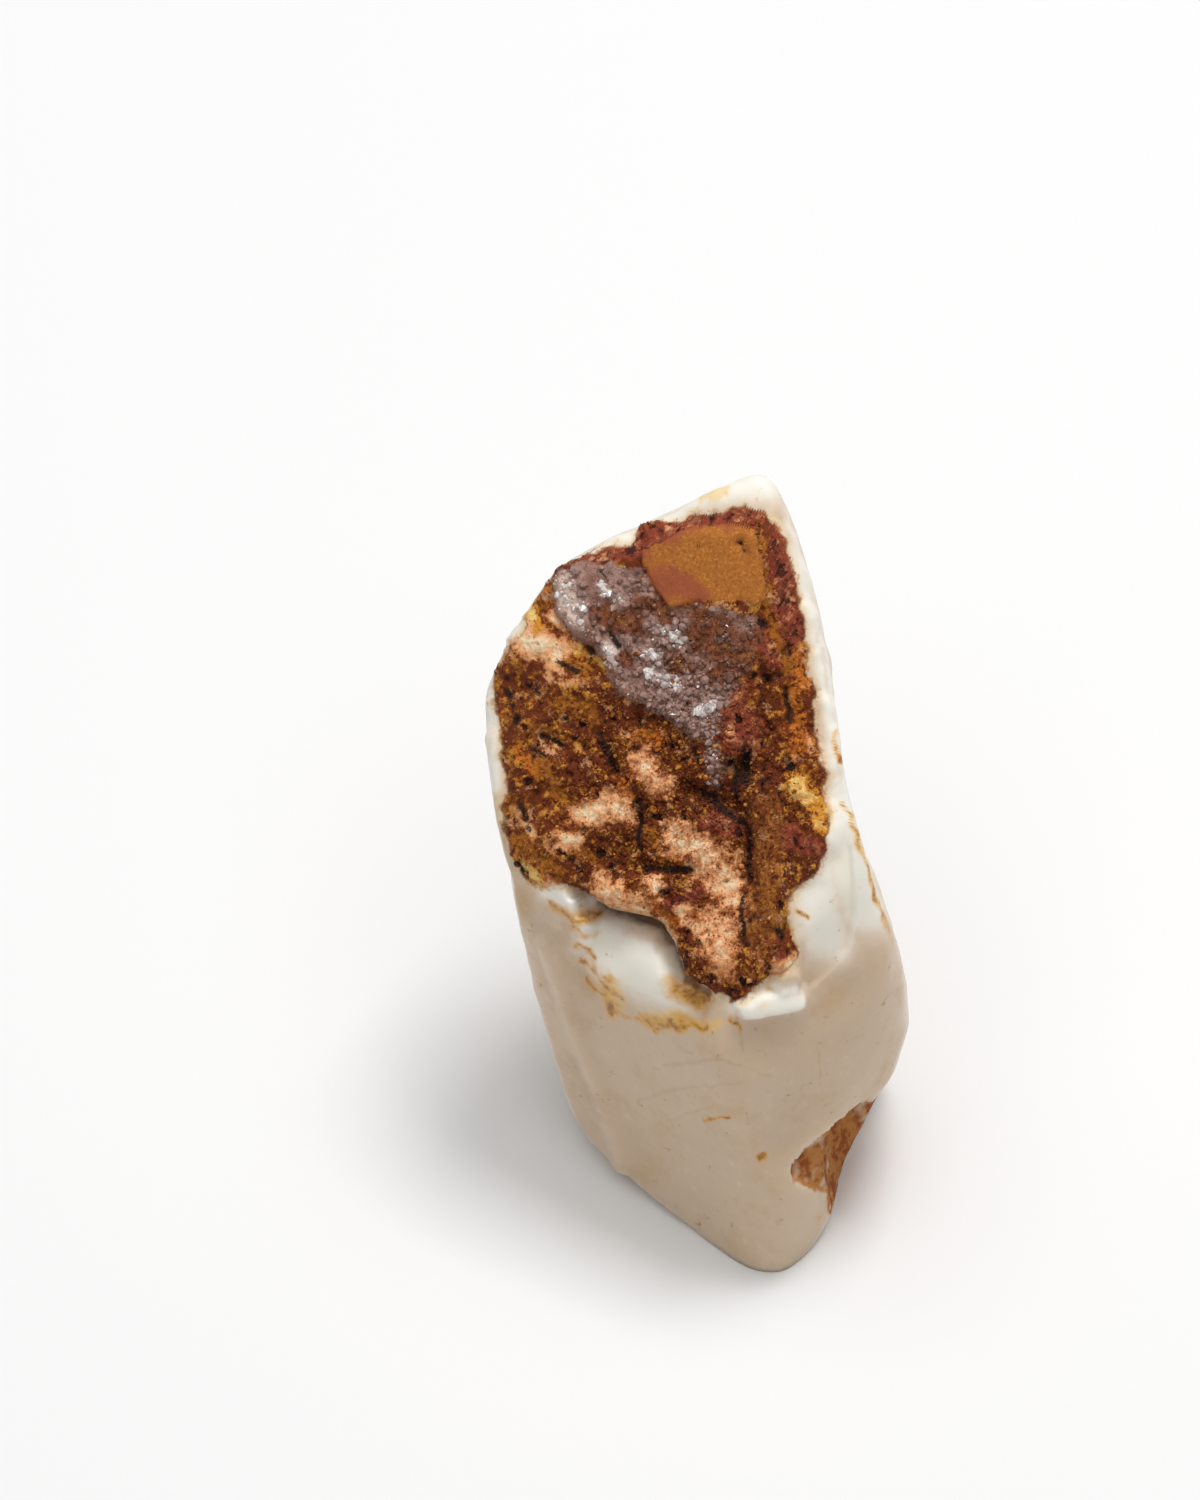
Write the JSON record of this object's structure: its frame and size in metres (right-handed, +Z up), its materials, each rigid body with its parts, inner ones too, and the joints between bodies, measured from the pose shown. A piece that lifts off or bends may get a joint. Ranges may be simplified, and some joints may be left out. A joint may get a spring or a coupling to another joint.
{
  "type": "boulder opal",
  "caption": "Rough upright piece of milky opal with a pitted rust-brown ironstone crust on its sloping face, standing on a flat spot as a mineral specimen.",
  "frame": {"origin": "middle of the flat spot that the stone stands on", "axes": "+Z up out of the flat spot; the crust slopes up from the front (-Y) to the peak at the back (+Y), and the shoulder is on the right (+X)"},
  "size_m": [0.0319, 0.0384, 0.0509],
  "materials": {
    "opal": "waxy milky opal with a rough rust-brown ironstone crust"
  },
  "bodies": {
    "root": {"boulder_opal": "opal"}
  },
  "joints": []
}
